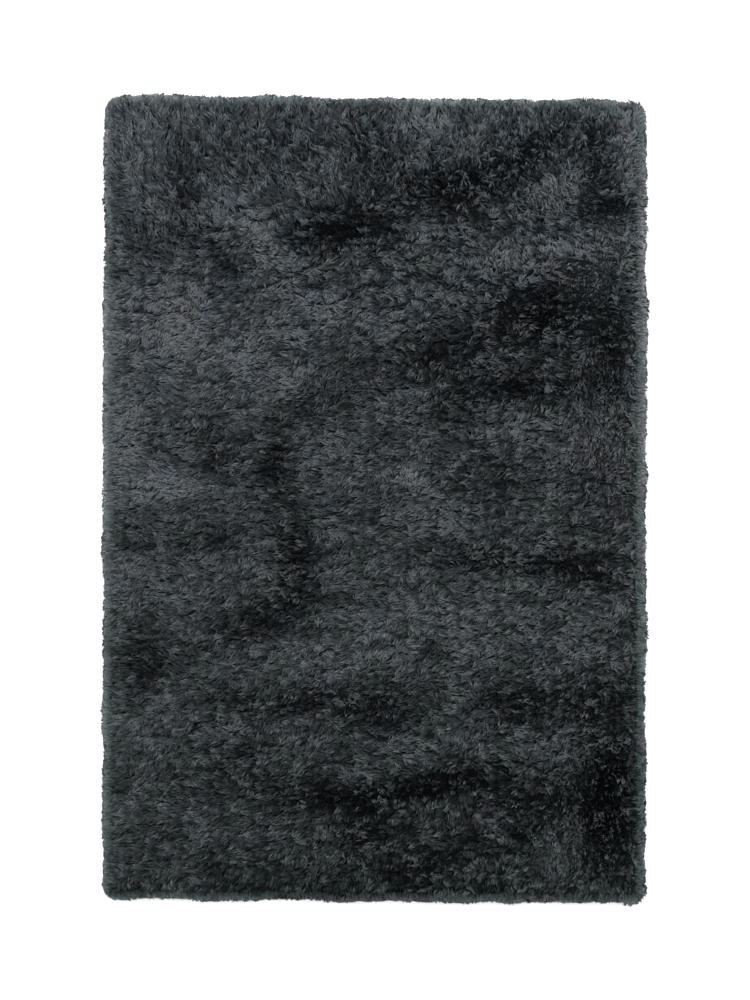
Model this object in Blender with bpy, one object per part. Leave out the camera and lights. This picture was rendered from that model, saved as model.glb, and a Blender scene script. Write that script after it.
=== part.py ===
"""A shag rug, lying flat: one lumpy slab of long pile on its backing, with yarn locks lying out at the rim.

Metres. +Z is up, the rug lies on z = 0 and is centred on the origin, X runs across it and Y along it.
"""

import bmesh
import bpy
import numpy as np
from mathutils import Vector

# The backing cloth, as cut. The pile reaches some 3 cm past it on every side.
WIDTH = 1.180
LENGTH = 1.780
CORNER_EASE = 0.90  # of a sharp corner's reach

# How far each corner is cut out of square, across and along
CORNER_PULLS = {
    # (side in X, side in Y): (across, along)
    (-1, 1): (0.005, 0.004),
    (1, 1): (0.002, -0.010),
    (1, -1): (-0.001, -0.002),
    (-1, -1): (0.001, 0.007),
}

# The pile stands on the backing. Its side is built up in rings from the floor.
RIM_RINGS = (
    # (height, reach past the backing's edge)
    (0.000, 0.000),
    (0.004, 0.005),
    (0.018, 0.012),
    (0.032, 0.006),
)
CROWN_HEIGHT = 0.0425
CROWN_INSET = 0.018  # of the crown's own edge, inside the backing's
SHOULDER_DROP = 0.005
SHOULDER_WIDTH = 0.040

# The crown's lattice. Two columns of the pile's side stand under each cell at the rim.
CELLS_ACROSS = 28
CELLS_ALONG = 43

# Small lumps all over: waves in many directions, and a little more from clump to clump
LUMP_WAVES = 14
LUMP_LENGTHS = (0.11, 0.30)
LUMP_HEIGHT = 0.0009
CLUMP_HEIGHT = 0.0032

# Where the pile has been trodden or parted, and where it stands full: a bell over an ellipse
RELIEF = (
    # (x, y, half_length, half_width, turn from +X in degrees, rise)
    (0.19, 0.72, 0.17, 0.060, 20, -0.0065),
    (-0.07, 0.62, 0.09, 0.050, 10, -0.0055),
    (0.37, 0.35, 0.15, 0.110, -30, -0.0065),
    (-0.24, 0.08, 0.07, 0.055, 60, -0.0045),
    (-0.39, 0.11, 0.06, 0.050, 0, -0.0035),
    (-0.20, -0.20, 0.10, 0.060, 75, -0.0055),
    (0.38, -0.15, 0.20, 0.045, -6, -0.0050),
    (-0.52, -0.35, 0.07, 0.060, 40, -0.0045),
    (0.18, -0.47, 0.40, 0.045, 3, -0.0045),
    (0.09, -0.67, 0.26, 0.055, 7, -0.0075),
    (0.53, -0.70, 0.14, 0.055, 88, -0.0075),
    (-0.37, -0.82, 0.08, 0.050, 30, -0.0035),
    (-0.28, 0.55, 0.12, 0.090, -45, 0.0045),
    (-0.47, 0.38, 0.16, 0.110, 10, 0.0045),
    (0.40, 0.60, 0.12, 0.080, 5, 0.0050),
    (-0.50, 0.02, 0.09, 0.070, 0, 0.0035),
    (0.08, 0.05, 0.10, 0.080, 30, 0.0030),
    (0.22, -0.29, 0.34, 0.075, 4, 0.0035),
    (0.15, -0.57, 0.34, 0.040, 3, 0.0030),
    (-0.47, -0.62, 0.12, 0.110, 15, 0.0030),
)

# The locks at the rim, in two tiers. Each has four sides, bends once and ends in a point.
TIERS = {
    # name: (band of the side, its first column, reach, height of the tip, height at the bend)
    "lower": (1, 0, (0.015, 0.021), (0.000, 0.000), 0.0060),
    "upper": (2, 1, (0.019, 0.025), (0.007, 0.014), 0.0080),
}
ROOT_SHARE = (0.84, 0.80)  # of its place in the side, across and up
BEND_AT = 0.72  # of a lock's length
BEND_DROP = 0.50  # of its fall, there
BEND_WIDTH = 0.86  # of the root's, there
LOCK_SWING = 0.008  # sideways at the tip
SWING_WAVES = (3, 7, 12, 19)  # to the circuit of the rim: neighbours lean alike

SEED = 7
YARN_COLOUR = (0.034, 0.040, 0.044, 1.0)
YARN_ROUGHNESS = 0.95


def clear_scene():
    for thing in list(bpy.data.objects):
        bpy.data.objects.remove(thing, do_unlink=True)


def pulled(x, y):
    """Adds the corners' pulls, each fading linearly to nothing at the other corners."""
    moved_x, moved_y = x, y
    for (side_x, side_y), (across, along) in CORNER_PULLS.items():
        share = (1 + side_x * x / (WIDTH / 2)) * (1 + side_y * y / (LENGTH / 2)) / 4
        moved_x += share * across
        moved_y += share * along
    return moved_x, moved_y


def lump_waves(rng):
    """(wave number in X, wave number in Y, phase) of each small wave."""
    waves = []
    for _ in range(LUMP_WAVES):
        heading = rng.uniform(0, np.pi)
        number = 2 * np.pi / rng.uniform(*LUMP_LENGTHS)
        waves.append((number * np.cos(heading), number * np.sin(heading), rng.uniform(0, 2 * np.pi)))
    return waves


def relief(x, y):
    """The rise from the trodden and the full places."""
    rise = 0.0
    for centre_x, centre_y, half_length, half_width, turn, height in RELIEF:
        c, s = np.cos(np.radians(turn)), np.sin(np.radians(turn))
        along = ((x - centre_x) * c + (y - centre_y) * s) / half_length
        across = ((y - centre_y) * c - (x - centre_x) * s) / half_width
        rise += height * np.exp(-(along**2 + across**2))
    return rise


def crown_height(x, y, waves):
    """The lumpy top: the lumps and the relief fade out, and the height falls, towards the rim."""
    lumps = sum(LUMP_HEIGHT * np.cos(kx * x + ky * y + phase) for kx, ky, phase in waves)
    inside = max(min(WIDTH / 2 - abs(x), LENGTH / 2 - abs(y)) - CROWN_INSET, 0.0)
    fade = np.exp(-inside / SHOULDER_WIDTH)
    return CROWN_HEIGHT - SHOULDER_DROP * fade + (lumps + relief(x, y)) * (1 - fade)


def crown(bm, rng):
    """The top of the pile. Returns its rim's vertices in order, counter-clockwise from above."""
    waves = lump_waves(rng)
    half_width, half_length = WIDTH / 2 - CROWN_INSET, LENGTH / 2 - CROWN_INSET
    last_x, last_y = 2 * CELLS_ACROSS, 2 * CELLS_ALONG  # places are counted in half cells
    verts = {}
    for i in range(last_x + 1):
        for j in range(last_y + 1):
            at_rim = i in (0, last_x) or j in (0, last_y)
            if i % 2 != j % 2 and not at_rim:
                continue
            x = half_width * (2 * i / last_x - 1)
            y = half_length * (2 * j / last_y - 1)
            x, y = pulled(x, y)
            clump = 0.0 if at_rim else rng.uniform(-CLUMP_HEIGHT, CLUMP_HEIGHT)
            verts[i, j] = bm.verts.new((x, y, crown_height(x, y, waves) + clump))
    around = ((0, 0), (1, 0), (2, 0), (2, 1), (2, 2), (1, 2), (0, 2), (0, 1))
    for i in range(0, last_x, 2):
        for j in range(0, last_y, 2):
            ring = [verts[i + a, j + b] for a, b in around if (i + a, j + b) in verts]
            for k in range(len(ring)):
                bm.faces.new((ring[k - 1], ring[k], verts[i + 1, j + 1]))
    rim = [(i, 0) for i in range(last_x)] + [(last_x, j) for j in range(last_y)]
    rim += [(last_x - i, last_y) for i in range(last_x)] + [(0, last_y - j) for j in range(last_y)]
    return [verts[place] for place in rim]


def outward(loop):
    """The level way out of the rim at each vertex, 1 long, or longer on a corner, as in a mitre."""
    ways = []
    for i, vert in enumerate(loop):
        before = vert.co - loop[i - 1].co
        after = loop[(i + 1) % len(loop)].co - vert.co
        before = Vector((before.y, -before.x, 0)).normalized()
        after = Vector((after.y, -after.x, 0)).normalized()
        way = (before + after) / (1 + before.dot(after))
        ways.append(way * (CORNER_EASE if way.length > 1.1 else 1))
    return ways


def rim_rings(bm, loop, ways):
    """The rings of the pile's side, lowest first. The last is the crown's rim."""
    rings = []
    for height, reach in RIM_RINGS:
        ring = []
        for vert, way in zip(loop, ways):
            place = vert.co + way * (CROWN_INSET + reach)
            ring.append(bm.verts.new((place.x, place.y, height)))
        rings.append(ring)
    return rings + [loop]


def skirt(bm, low, high):
    """Joins two rings of vertices with a band of quads."""
    for i in range(len(low)):
        bm.faces.new((low[i - 1], low[i], high[i], high[i - 1]))


def lock_rings(place, way, swing, tier, rng):
    """The corners of a lock's root and bend, counter-clockwise from outside, and its tip."""
    _, _, reach, tip_height, bend_height = TIERS[tier]
    middle = sum(place, Vector()) / 4
    side = Vector((-way.y, way.x, 0)).normalized()
    tip = middle + way * rng.uniform(*reach) + side * swing
    tip.z = rng.uniform(*tip_height)
    bend = middle.lerp(tip, BEND_AT)
    bend.z = middle.z + (tip.z - middle.z) * BEND_DROP
    if tier == "lower":
        bend.z = bend_height / 2  # it lies on the floor from there on
    root, ring, out = [], [], way.normalized()
    for corner in place:
        across = (corner - middle).dot(side) * ROOT_SHARE[0]
        up = (corner.z - middle.z) * ROOT_SHARE[1]
        outer = (corner - middle).dot(out) * ROOT_SHARE[1]
        root.append(middle + side * across + out * outer + Vector((0, 0, up)))
        ring.append(bend + side * across * BEND_WIDTH + Vector((0, 0, np.copysign(bend_height / 2, up))))
    return root, ring, tip


def grow_lock(bm, corners, way, swing, tier, rng):
    """A lock out of one quad of the side: a flat frame about its root, four sides, four more."""
    root, ring, tip = lock_rings([v.co for v in corners], way, swing, tier, rng)
    root = [bm.verts.new(place) for place in root]
    ring = [bm.verts.new(place) for place in ring]
    tip = bm.verts.new(tip)
    skirt(bm, corners, root)
    skirt(bm, root, ring)
    for i in range(4):
        bm.faces.new((ring[i - 1], ring[i], tip))


def lock_swings(count, rng):
    """How far each lock of the rim swings sideways: waves along the rim, and its own share."""
    turn = np.linspace(0, 2 * np.pi, count, endpoint=False)
    waves = sum(np.sin(number * turn + rng.uniform(0, 2 * np.pi)) for number in SWING_WAVES)
    return LOCK_SWING * (0.3 * waves + rng.uniform(-0.6, 0.6, count))


def side_of_pile(bm, rings, ways, rng):
    """The bands of the side, with a lock on every second column of the bands that bear them."""
    count = len(rings[0])
    swings = lock_swings(count, rng)
    tier_of_band = {band: (tier, first) for tier, (band, first, *_) in TIERS.items()}
    for band, (low, high) in enumerate(zip(rings, rings[1:])):
        tier, first = tier_of_band.get(band, (None, 0))
        for i in range(count):
            corners = (low[i - 1], low[i], high[i], high[i - 1])
            if tier and (i - first) % 2 == 0:
                way = (ways[i - 1] + ways[i]) / 2
                grow_lock(bm, corners, way, swings[i], tier, rng)
            else:
                bm.faces.new(corners)


def centred(bm):
    """Moves the rug so that its box is centred on the origin and it lies on z = 0."""
    places = np.array([v.co for v in bm.verts])
    low, high = places.min(0), places.max(0)
    bmesh.ops.translate(bm, verts=bm.verts, vec=-Vector(((low + high) / 2)[:2].tolist() + [low[2]]))


def yarn_material():
    material = bpy.data.materials.new("yarn")
    material.use_nodes = True
    shader = material.node_tree.nodes["Principled BSDF"]
    shader.inputs["Base Color"].default_value = YARN_COLOUR
    shader.inputs["Roughness"].default_value = YARN_ROUGHNESS
    shader.inputs["Metallic"].default_value = 0.0
    return material


def build_rug():
    rng = np.random.default_rng(SEED)
    bm = bmesh.new()
    loop = crown(bm, rng)
    ways = outward(loop)
    rings = rim_rings(bm, loop, ways)
    side_of_pile(bm, rings, ways, rng)
    bm.faces.new(list(reversed(rings[0])))  # the underside
    centred(bm)
    bmesh.ops.triangulate(bm, faces=bm.faces)
    mesh = bpy.data.meshes.new("shag_rug")
    bm.to_mesh(mesh)
    bm.free()
    mesh.shade_smooth()
    mesh.set_sharp_from_angle(angle=np.radians(50))
    mesh.materials.append(yarn_material())
    rug = bpy.data.objects.new("shag_rug", mesh)
    bpy.context.scene.collection.objects.link(rug)


clear_scene()
build_rug()
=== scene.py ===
"""The looks of a charcoal shag rug laid flat: a cloth backing, the depth of the pile, and its yarn locks."""

import bpy
import numpy as np
from bpy.props import FloatProperty, FloatVectorProperty, IntProperty, PointerProperty
from bpy.types import Operator, Panel, PropertyGroup
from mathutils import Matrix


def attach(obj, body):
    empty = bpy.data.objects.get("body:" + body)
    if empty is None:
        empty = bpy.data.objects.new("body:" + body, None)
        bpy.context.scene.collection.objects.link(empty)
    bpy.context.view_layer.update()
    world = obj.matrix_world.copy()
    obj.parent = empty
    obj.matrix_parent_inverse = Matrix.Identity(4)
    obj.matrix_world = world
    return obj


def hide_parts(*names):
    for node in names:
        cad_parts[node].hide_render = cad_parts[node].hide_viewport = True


bl_info = {
    "name": "Shag rug",
    "version": (1, 0, 0),
    "blender": (4, 5, 0),
    "location": "View3D > Sidebar > Rug",
    "description": "Makes a long-pile rug out of a backing, a pile bed and combed yarn locks",
    "category": "Add Mesh",
}

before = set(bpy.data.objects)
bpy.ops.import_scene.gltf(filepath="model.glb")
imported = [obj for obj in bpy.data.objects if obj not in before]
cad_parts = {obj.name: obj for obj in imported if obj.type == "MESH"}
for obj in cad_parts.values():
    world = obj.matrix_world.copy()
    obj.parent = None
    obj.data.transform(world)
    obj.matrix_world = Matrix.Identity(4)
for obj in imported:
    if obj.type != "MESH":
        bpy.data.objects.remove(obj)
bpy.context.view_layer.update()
NODE = "shag_rug"

# How much a shade of 1, and a lift of 1 m, lighten the yarn, as powers of e: painted light and shade
PAINTED_SHADE_STRENGTH = 1.70
LIFT_PAINTED_LIGHT = 125
# Painted shade: the bed is darker than the yarn, as the pile's depth gets little light
BED_PAINTED_SHADE = 0.5  # the bed's tone where the shade is 0
# How much bluer the yarn is a metre towards the head end, and the place in Y where it has no cast
HUE_DRIFT, HUE_MIDDLE = 1.2, 0.05
# How much higher the tips lie where the shade is 1, and the shades past which that stops
SHADE_LIFT, SHADE_LOWEST, SHADE_HIGHEST = 0.005, -1.4, 0.6

# The backing, as the part's source cuts it
WIDTH, LENGTH = 1.180, 1.780
CORNER_PULLS = {
    # (side in X, side in Y): (across, along)
    (-1, 1): (0.005, 0.004),
    (1, 1): (0.002, -0.010),
    (1, -1): (-0.001, -0.002),
    (-1, -1): (0.001, 0.007),
}
CROWN_HEIGHT = 0.0425
CORNER_RADIUS = 0.010
BULGE_MIDDLE = 0.011  # the height at which the rim bulges furthest
LUMP_SEED, LUMP_WAVES, LUMP_LENGTHS, LUMP_HEIGHT = 7, 14, (0.11, 0.30), 0.0009

# Places on the pile are given as the photograph's own: pixels from its left and top edges
PIXEL = 0.002274
MIDDLE = (374.5, 499.5)

# Where the pile stands up or is parted, so that one looks into its depth (below 0), and where it lies sleek
# (above 0). The shade sets the locks' lean and the tips' height, and it also scales the yarn's tone: painted
# shade below 0 and painted light above 0
SHADES = (
    # (across, down, half_length, half_width, turn, shade)
    (340, 230, 44, 22, 8, -0.85),
    (372, 142, 34, 24, 90, -0.45),
    (445, 187, 62, 24, 4, -0.70),
    (522, 155, 52, 20, 28, -0.60),
    (600, 155, 26, 13, 90, -0.55),
    (610, 207, 22, 8, 0, -0.75),
    (186, 195, 48, 15, 100, -0.40),
    (230, 266, 18, 11, -25, -0.40),
    (538, 318, 46, 32, 0, -0.85),
    (520, 388, 70, 18, 0, -0.75),
    (455, 412, 28, 14, 0, -0.35),
    (490, 475, 50, 26, 0, -0.20),
    (438, 354, 62, 22, 15, -0.50),
    (612, 345, 62, 15, 90, -0.50),
    (305, 408, 28, 15, 10, -0.45),
    (212, 458, 30, 20, -50, -0.50),
    (272, 468, 34, 18, 90, -0.65),
    (296, 558, 40, 20, 90, -0.75),
    (262, 618, 58, 20, 22, -0.60),
    (200, 542, 62, 13, 4, -0.30),
    (490, 562, 60, 12, -6, -0.55),
    (580, 570, 48, 18, -12, -0.65),
    (145, 660, 40, 24, 90, -0.60),
    (290, 703, 76, 14, 0, -0.55),
    (380, 708, 34, 26, 0, -0.50),
    (512, 704, 34, 18, -12, -0.65),
    (592, 700, 52, 24, 8, -0.55),
    (242, 762, 28, 22, 0, -0.40),
    (340, 796, 66, 14, 0, -0.75),
    (440, 785, 66, 16, 10, -0.95),
    (368, 832, 28, 20, 0, -0.60),
    (540, 800, 50, 26, 0, -0.45),
    (500, 840, 55, 13, 8, -0.35),
    (608, 800, 62, 22, 85, -1.40),
    (212, 862, 18, 14, 0, -0.45),
    (420, 868, 75, 18, 6, -0.40),
    (375, 850, 330, 100, 0, -0.22),
    (375, 900, 280, 16, 0, -0.45),
    (140, 128, 42, 30, 0, 0.32),
    (425, 118, 62, 15, -4, 0.34),
    (258, 240, 60, 22, -50, 0.35),
    (540, 248, 66, 20, 0, 0.48),
    (622, 236, 22, 18, 0, 0.60),
    (626, 122, 22, 30, 0, 0.38),
    (600, 280, 30, 18, 0, 0.25),
    (412, 224, 16, 14, 0, 0.25),
    (470, 240, 26, 16, 0, -0.25),
    (280, 140, 80, 26, 0, -0.17),
    (250, 724, 60, 14, 0, -0.20),
    (320, 302, 30, 12, 30, 0.25),
    (250, 372, 50, 26, -20, 0.30),
    (155, 598, 40, 14, 0, 0.20),
    (556, 192, 26, 20, 60, 0.45),
    (165, 328, 90, 50, 0, 0.40),
    (345, 322, 70, 18, 12, 0.18),
    (130, 432, 34, 22, 90, 0.42),
    (160, 492, 50, 18, 4, 0.45),
    (412, 480, 22, 20, 0, 0.40),
    (585, 440, 50, 24, 0, 0.25),
    (440, 615, 110, 28, 0, 0.18),
    (330, 655, 60, 20, 8, 0.15),
    (450, 746, 75, 10, 0, 0.18),
    (552, 866, 30, 18, 70, 0.30),
    (641, 300, 320, 13, 90, 0.50),
    (104, 380, 300, 13, 90, 0.30),
)

# Which way the locks lie: heading of their tips in degrees from +X, towards +Y
BASE_HEADING = 196
# At the head end, where it is turned to between these two places in Y
HEAD_HEADING, HEAD_FROM, HEAD_TO = 104, 0.60, 0.74
HEADINGS = (
    # (across, down, half_length, half_width, turn, heading, weight)
    (165, 175, 50, 40, 0, 112, 3.0),
    (150, 228, 35, 22, 0, 95, 2.5),
    (250, 215, 45, 22, -30, 150, 2.5),
    (285, 245, 20, 20, 0, 125, 2.5),
    (300, 145, 70, 30, 0, 108, 3.0),
    (450, 145, 70, 30, 0, 98, 3.0),
    (580, 130, 60, 28, 0, 78, 2.5),
    (200, 340, 100, 60, 0, 210, 2.5),
    (420, 640, 180, 60, 0, 206, 2.0),
    (340, 262, 50, 20, 0, 200, 2.5),
    (420, 226, 24, 16, 0, 228, 3.0),
    (485, 255, 24, 22, 0, 108, 3.0),
    (560, 236, 34, 24, 0, 128, 3.0),
    (545, 190, 22, 24, 0, 60, 2.0),
    (605, 200, 24, 20, 0, 355, 2.5),
    (608, 285, 26, 30, 0, 35, 2.5),
    (530, 300, 24, 16, 0, 220, 2.0),
    (505, 372, 24, 14, 0, 212, 2.0),
    (600, 420, 60, 24, 90, 300, 2.5),
    (150, 470, 45, 60, 0, 203, 3.0),
    (178, 522, 20, 18, 0, 232, 3.0),
    (410, 440, 30, 16, 0, 202, 2.0),
    (125, 592, 24, 20, 0, 226, 3.0),
    (390, 608, 50, 22, 0, 202, 2.0),
    (140, 755, 30, 30, 0, 210, 2.0),
    (300, 758, 40, 22, 0, 225, 2.5),
    (455, 802, 50, 22, 0, 228, 2.5),
    (450, 862, 50, 20, 0, 232, 2.5),
    (330, 860, 50, 22, 0, 250, 2.0),
    (556, 850, 24, 32, 0, 272, 3.5),
    (592, 810, 22, 50, 0, 305, 3.0),
)

# The pile bunches at these scales. The tips of a bunch are pulled together and share a turn, a tone and a
# height. Towards its front, which lies over the next bunch, a bunch rises by the rise for each size of way,
# and at its border it dips by the dip. Through the lift's tone, raised tips are painted lighter and sunk
# ones darker: painted light on the fronts and painted shade in the creases at the borders. Where the shade
# is -1, the dark tone is added to the tone. All this is full at the head end, and has the share sleek of it
# below
BUNCHES = (
    # (size, sleek, pull, turn, tone, dark_tone, lift, rise, dip)
    (0.0062, 0.98, 0.15, 0.22, 0.24, 0.35, 0.0012, 0.0022, 0.0022),
    (0.0130, 0.66, 0.22, 0.29, 0.21, 0.30, 0.0015, 0.0039, 0.0039),
    (0.0300, 0.62, 0.13, 0.26, 0.16, 0.15, 0.0011, 0.0024, 0.0024),
)
BUNCH_TILT = 2.0  # the tilt of a bunch's top a whole bunch away from its middle, for a pull of 1
FRONT_MOST = 0.7  # the front's height stops growing this share of the bunch's size from its middle
# The dip at the border starts where two centres' distances differ by this share of the size
BORDER_WIDTH = 0.40
CELL_SHAKE = (0.08, 0.92)  # where in its square of the lattice a bunch's centre may lie
LATTICE = (3.0, 2.6)  # the lattice's extent in X and Y, with room for the rug's squeezed width
ROUGH_DARK = 0.6  # how much stronger the bunches are where the shade is -1
# How much longer in X than in Y a bunch is, where the locks lie across the rug and where they lie along it.
# It is one or the other for all of a cell of this size
STRETCH_ACROSS, STRETCH_ALONG, STRETCH_CELL = 2.4, 0.70, 0.05
# The head end's full bunches start between these two places in Y. At the right side all are stronger by this
# share, and at the left side weaker
HEAD_END_FROM, HEAD_END_TO = 0.28, 0.48
ROUGH_RIGHT = 0.20

# Slow changes over the rug: (how many waves are added up, (the shortest, the longest))
PARTING_WAVES = (24, (0.05, 0.25))
SWIRL_WAVES = (24, (0.10, 0.35))
HUE_WAVES = (30, (0.03, 0.20))
TONE_WAVES = (30, (0.06, 0.30))
RIM_WAVES = (24, (0.04, 0.30))

# The shapes of a lock: its root, pairs of corners left and right at these shares of its length and this
# broad for its radius, and its tip. A keel below, from root to tip, closes it
FIELD_LOCK = ((0.60, 1.35),)
RIM_LOCK = ((0.42, 1.35), (0.80, 1.15))

LATTICE_SHAKE = 0.4  # how far a lock's place is moved off its lattice, for the spacing
# How much single locks differ: the ends of an even spread, or a normal spread
LENGTHS, RIM_LENGTHS, RADII = (0.80, 1.15), (0.75, 1.15), (0.75, 1.25)
ANGLE_SPREAD, OUT_SPREAD, LEAN_SPREAD, ROLL_SPREAD, CURL_SPREAD = 0.28, 0.20, 0.10, 0.5, 0.32
TONE_SPREAD, RIM_TONE_SPREAD, CAST_SPREAD = 0.12, 0.08, 0.10
TIP_DEPTH = 0.002  # how far below the pile's top a tip may lie

# How far over a lock of the field lies, for its length, where the shade is 0, how much further for a shade
# of 1 more, the shade past which that stops, and the least
LEAN, LEAN_SHADE, LEAN_SHADE_MOST, LEAN_LEAST = 0.84, 0.40, 0.2, 0.06
SWIRL = 0.20  # how far slow swirls turn the lay
# A lock's root lies below the bed's top. It starts out along this share of its way, against its bunch's
# turn, and its bend rises for the way that it goes
ROOT_DEPTH, START, CURL, BEND_RISE, BEND_OVER_TIP = 0.003, 0.38, -1.2, 0.40, 0.001

# Near its edges the field is parted, and its locks lie outwards: how far in from the backing's edge that
# starts, how far this wanders, and the width over which it grows to its full
PARTING, PARTING_WANDER, PARTING_FADE = 0.034, 0.010, 0.030
# There, how far over a lock lies outwards, how much less it has of the field's lay and of its bunch's pull,
# and the share that it has of the bunch's turn
OUTWARDS, LESS_LAY, LESS_PULL, OUT_TURN = 0.60, 0.6, 0.5, 0.6
FIELD_SPREAD = 0.025  # how far past the backing the field's tips reach
# Painted light: tips past the backing are lightened, standing in for light from the pale floor
OUT_LIGHT = 18.0  # how much lighter a tip is for each metre past the backing, as a power of e
STEEPEST = 0.95  # the most that the field's surface faces outwards
# In the right side's parting the pile lies along the side: towards the head above this place in Y, and
# towards the foot below it, turning over a fade
PARTING_SWEEP, SWEEP_TURNS, SWEEP_FADE = 1.7, 0.40, 0.08

# The field's tones: slow changes, and the lightest tone, as a power of e, where the shade is 0 and for a
# shade of 1 more, between two shades
SLOW_TONE, LIGHTEST, LIGHTEST_SHADE, LIGHTEST_FROM, LIGHTEST_TO = 0.12, 0.55, 0.40, -0.5, 0.6
# The casts: slow changes in the field and the rim, and how much greener the parting and the rim are
SLOW_CAST, RIM_SLOW_CAST, PARTING_CAST, RIM_CAST = 0.65, 0.50, -0.4, -0.6

# In degrees from the crown: where the rim's first tips lie, and the span to the last, where they crowd a bit
RIM_FIRST, RIM_SPAN, RIM_CROWDING = 38, 70, 0.9
RIM_ARC = 0.046  # the bulge's length from crown to floor
RIM_THICKNESS = 1.2  # a rim lock's thickness for a field lock's
# The shares that the rim's locks have of a bunch's turn, lift and pull
RIM_TURN, RIM_LIFT, RIM_PULL = 0.5, 0.5, 0.3
# How far the rim wanders, how far back the sides of a broad bunch and the shortest locks lie, how far the
# longest reach on, and how much less the rim reaches at the head and foot ends
RIM_WANDER, RIM_ROUNDING, RIM_SHORT, RIM_LONG, RIM_ENDS = 0.0018, 0.0010, 0.004, 0.0014, 0.0022
RIM_CURVE = (
    # A rim lock's three points: how far back from its tip along the bulge, for its length, the bulge's
    # reach there, how far under the crown's height it starts, and the share of the lock's shift to a side
    # that it has
    # (name, back, out_share, drop, aside)
    ("tip", 0.0, 1.0, 0.0, 1.0),
    ("bend", 0.55, 1.03, 0.001, 0.45),
    ("root", 1.05, 0.62, 0.012, 0.0),
)
FURTHEST_BACK = -0.5  # in radians from the crown, the angle past which a root doesn't go back
# The rim's tones, as powers of e: a glow of painted light, at an angle from the crown and over a width in
# radians, a lighter tone all round and more of it at the foot end, also painted light, and how much darker
# each radian under the bulge is, a painted shadow towards the floor
GLOW, GLOW_ANGLE, GLOW_WIDTH, GLOW_ALL, GLOW_FOOT, UNDER_PAINTED_SHADE = 0.95, 1.10, 0.38, 0.18, 0.20, 1.2
# The shares that the rim has of the bunches' and the shade's tones, and the limits of the bunches' part
RIM_BUNCH_TONE, RIM_SHADE, RIM_DARKEST, RIM_LIGHTEST = 0.8, 0.6, -0.7, 0.1

# The least height of any corner of a lock, and of a rim lock's three points
FLOOR_GAP, RIM_GAP = 0.0004, 0.001
TINY = 1e-12

# The bed reaches this share of the overhang past the backing, where it is this thick
BED_REACH, BED_THINNEST = 0.62, 0.003
BED_LATTICE, BACKING_LATTICE = (84, 126), (20, 30)  # points across and along

# A lock's cell on the bake's map: how tall it is for its width, and its margins round and along the lock
CELL_TALL, MARGIN_ROUND, MARGIN_ALONG = 3.5, 0.10, 0.05
# On the yarn's map: the way round a lock for its radius, a lock's length, and the size that locks start in
YARN_ROUND, YARN_LENGTH, YARN_MAP = 5.4, 0.035, 5

# The yarn: how the fibres streak it, how steeply red, green and blue follow the tone, how the root's colour,
# a painted shade, goes over into the tip's, how strongly the cast tells, and how far a lock is shaded as its
# bunch's surface
STREAK, STREAK_BASE = 3.2, -0.53
CHANNEL_POWERS = (1.05, 1.0, 0.98)
ROOT_POWER, CAST_STRENGTH, BUNCH_SHADING = 1.2, 0.8, 0.88
# The camera stands straight over the rug, and a pixel has its size at this height over the floor
CAMERA_LENS, SENSOR = 85.0, 36.0
PHOTO_SIDE = 1000  # the photograph's longer side, in pixels
CAMERA_PLACE, PIXEL_HEIGHT = (0.002, -0.001), 0.02
# The light: the lamp's strength, its spread and its tilt in degrees, and the sky's strength
LAMP_STRENGTH, LAMP_SPREAD, LAMP_TILT, SKY_STRENGTH = 3.0, 60.0, -32.0, 1.20
FLOOR_SIDE = 30.0  # half of the floor's side


# ---- sizes and colours


class RugSizes(PropertyGroup):
    """The sizes that a user would change"""

    lock_spacing: FloatProperty(
        name="Lock spacing",
        description="Mean distance from one lock's tip to the next",
        default=0.0035,
        unit="LENGTH",
    )
    lock_length: FloatProperty(
        name="Lock length",
        description="Free length of a lock above the bed",
        default=0.028,
        unit="LENGTH",
    )
    rim_length: FloatProperty(
        name="Rim lock length",
        description="Length of a rim lock that shows",
        default=0.026,
        unit="LENGTH",
    )
    lock_radius: FloatProperty(
        name="Lock radius",
        description="Half of a lock's thickness, which its shape scales along it",
        default=0.00105,
        unit="LENGTH",
    )
    overhang: FloatProperty(
        name="Overhang",
        description="How far the pile reaches past the backing",
        default=0.0315,
        unit="LENGTH",
    )
    bed_depth: FloatProperty(
        name="Bed depth",
        description="How far the bed lies below the tips",
        default=0.012,
        unit="LENGTH",
    )
    backing_thickness: FloatProperty(
        name="Backing thickness",
        description="Thickness of the woven backing",
        default=0.0025,
        unit="LENGTH",
    )
    strips: IntProperty(
        name="Strips",
        description="How many lengthwise strips the pile is made in",
        default=9,
        min=1,
    )
    seed: IntProperty(name="Seed", description="Seed of the random numbers", default=11)


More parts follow.
